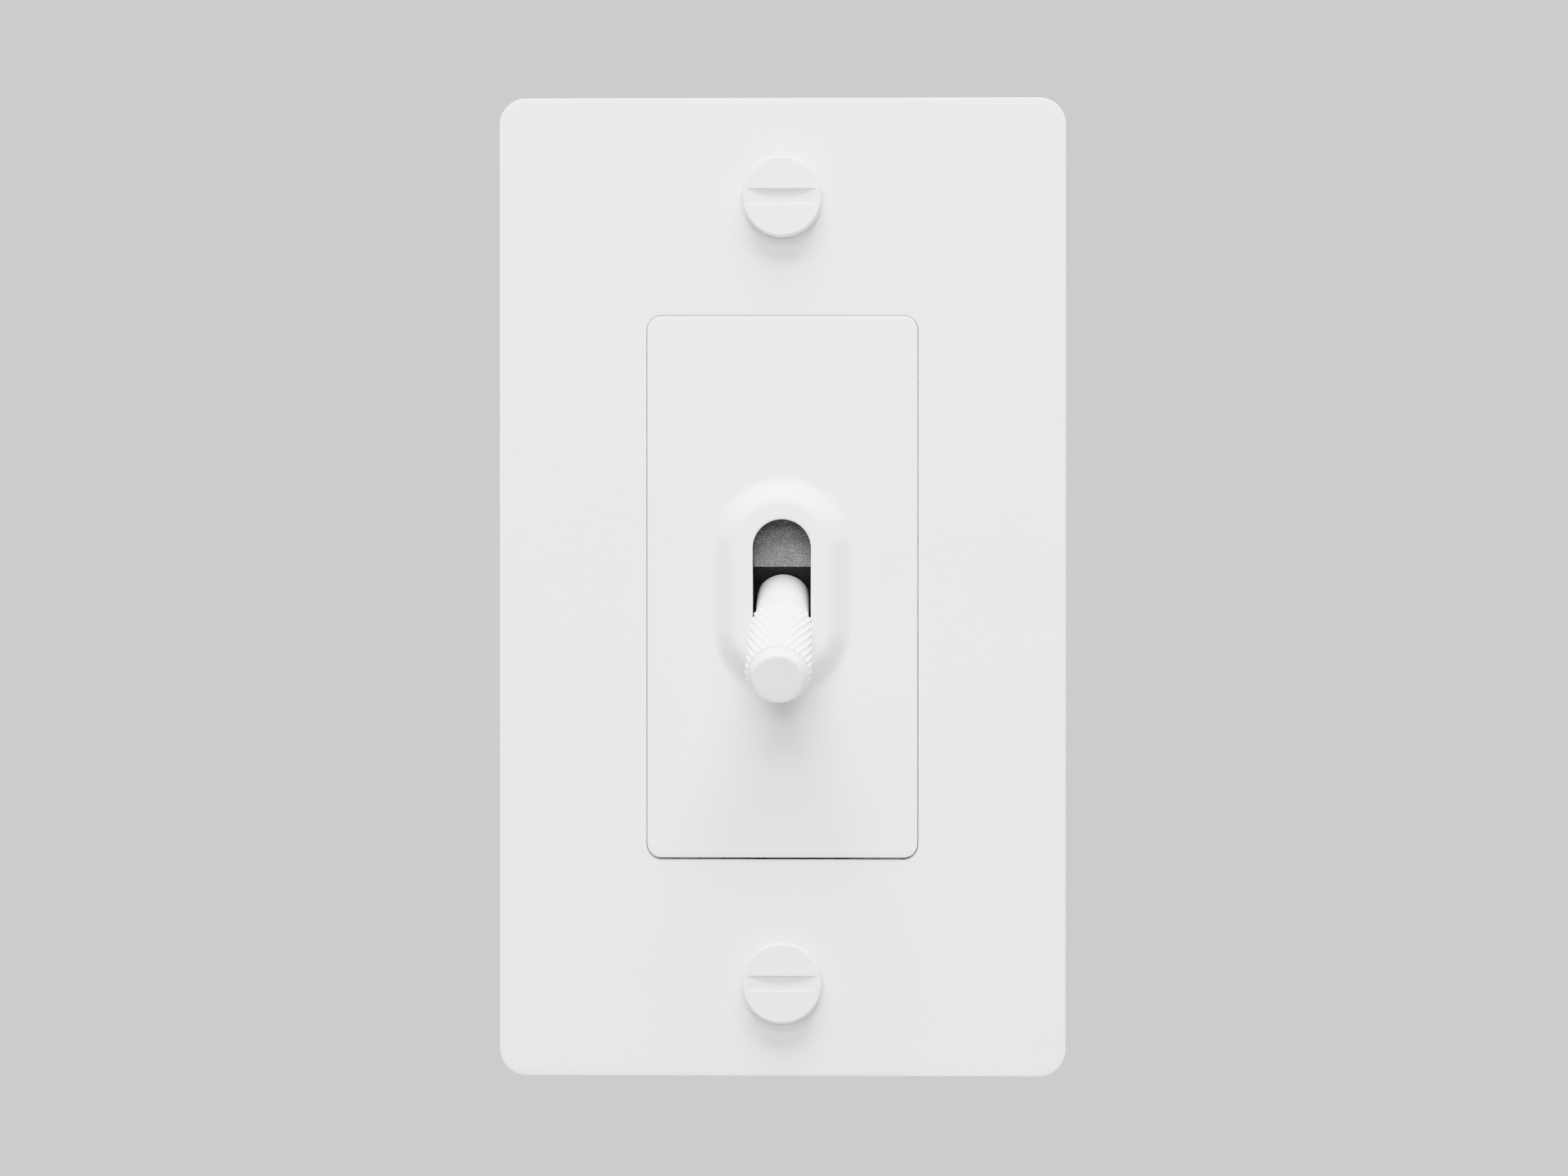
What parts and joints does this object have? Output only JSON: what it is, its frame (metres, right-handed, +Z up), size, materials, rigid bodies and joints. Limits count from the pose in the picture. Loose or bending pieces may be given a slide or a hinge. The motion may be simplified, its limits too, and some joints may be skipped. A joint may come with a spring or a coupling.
{
  "type": "toggle wall switch",
  "caption": "Wall switch with a flat cover plate, a rectangular insert, a raised slot collar and a knurled bat lever that flips a snap mechanism in a moulded housing behind.",
  "frame": {"origin": "centre of the cover plate on the wall plane, at the plate's back rim", "axes": "+Z up along the plate's height, +Y into the wall, so the front faces -Y, +X to the right as seen from the front"},
  "size_m": [0.0694, 0.0461, 0.12],
  "materials": {
    "plate_powder_coat": "fine matt powder coat",
    "insert_powder_coat": "fine matt powder coat",
    "lever_powder_coat": "satin powder coat over a diamond knurl",
    "black_nylon": "smooth moulded",
    "grained_nylon": "leather-like moulded grain",
    "housing_resin": "moulded resin",
    "retainer_card": "pressed fibre card",
    "brass": "stamped brass",
    "steel": "zinc-plated steel",
    "dark_steel": "blackened steel",
    "green_steel": "green dyed plating",
    "silver_alloy": "silver alloy contact"
  },
  "bodies": {
    "case": {"wall_plate": "plate_powder_coat", "plate_screw_top": "plate_powder_coat", "plate_screw_bottom": "plate_powder_coat", "insert_face": "insert_powder_coat", "slot_liner": "black_nylon", "fixed_contact_upper": "silver_alloy", "fixed_contact_lower": "silver_alloy", "common_terminal": "brass", "traveller_terminal_upper": "brass", "traveller_terminal_lower": "brass", "terminal_clamp_common": "steel", "terminal_clamp_upper": "steel", "terminal_clamp_lower": "steel", "terminal_screw_common": "dark_steel", "terminal_screw_upper": "brass", "terminal_screw_lower": "brass", "yoke": "steel", "ground_screw": "green_steel", "device_screw_top": "steel", "device_screw_bottom": "steel", "screw_retainer_top": "retainer_card", "screw_retainer_bottom": "retainer_card", "insert_screw_top": "steel", "insert_screw_bottom": "steel", "housing_front": "housing_resin", "housing_back": "housing_resin", "assembly_screw_1": "steel", "assembly_screw_2": "steel", "assembly_screw_3": "steel", "assembly_screw_4": "steel"},
    "lever": {"toggle_bat": "lever_powder_coat", "bat_stud": "steel", "toggle_rocker": "grained_nylon", "pivot_pin": "steel", "plunger_spring": "steel"},
    "snap_plunger": {"plunger": "brass"},
    "seesaw": {"contact_arm": "brass", "moving_contact_upper": "silver_alloy", "moving_contact_lower": "silver_alloy"}
  },
  "joints": [
    {"name": "lever_hinge", "type": "hinge", "parent": "case", "child": "lever", "pos_m": [0, 0.0037, 0], "axis": [-1, 0, 0], "range_deg": [0, 46.4]},
    {"name": "plunger_slide", "type": "slide", "parent": "lever", "child": "snap_plunger", "axis": [0, 0.9191, 0.3939], "range_m": [-0.0009, 0], "stiffness_N_per_m": 700, "springref_m": 0.0006, "deforming": ["plunger_spring"]},
    {"name": "arm_rock", "type": "hinge", "parent": "case", "child": "seesaw", "pos_m": [0, 0.0175, 0], "axis": [1, 0, 0], "range_deg": [0, 16.8]}
  ],
  "couplings": [
    {"joint": "arm_rock", "follows": "lever_hinge", "ratio": 0.362}
  ]
}
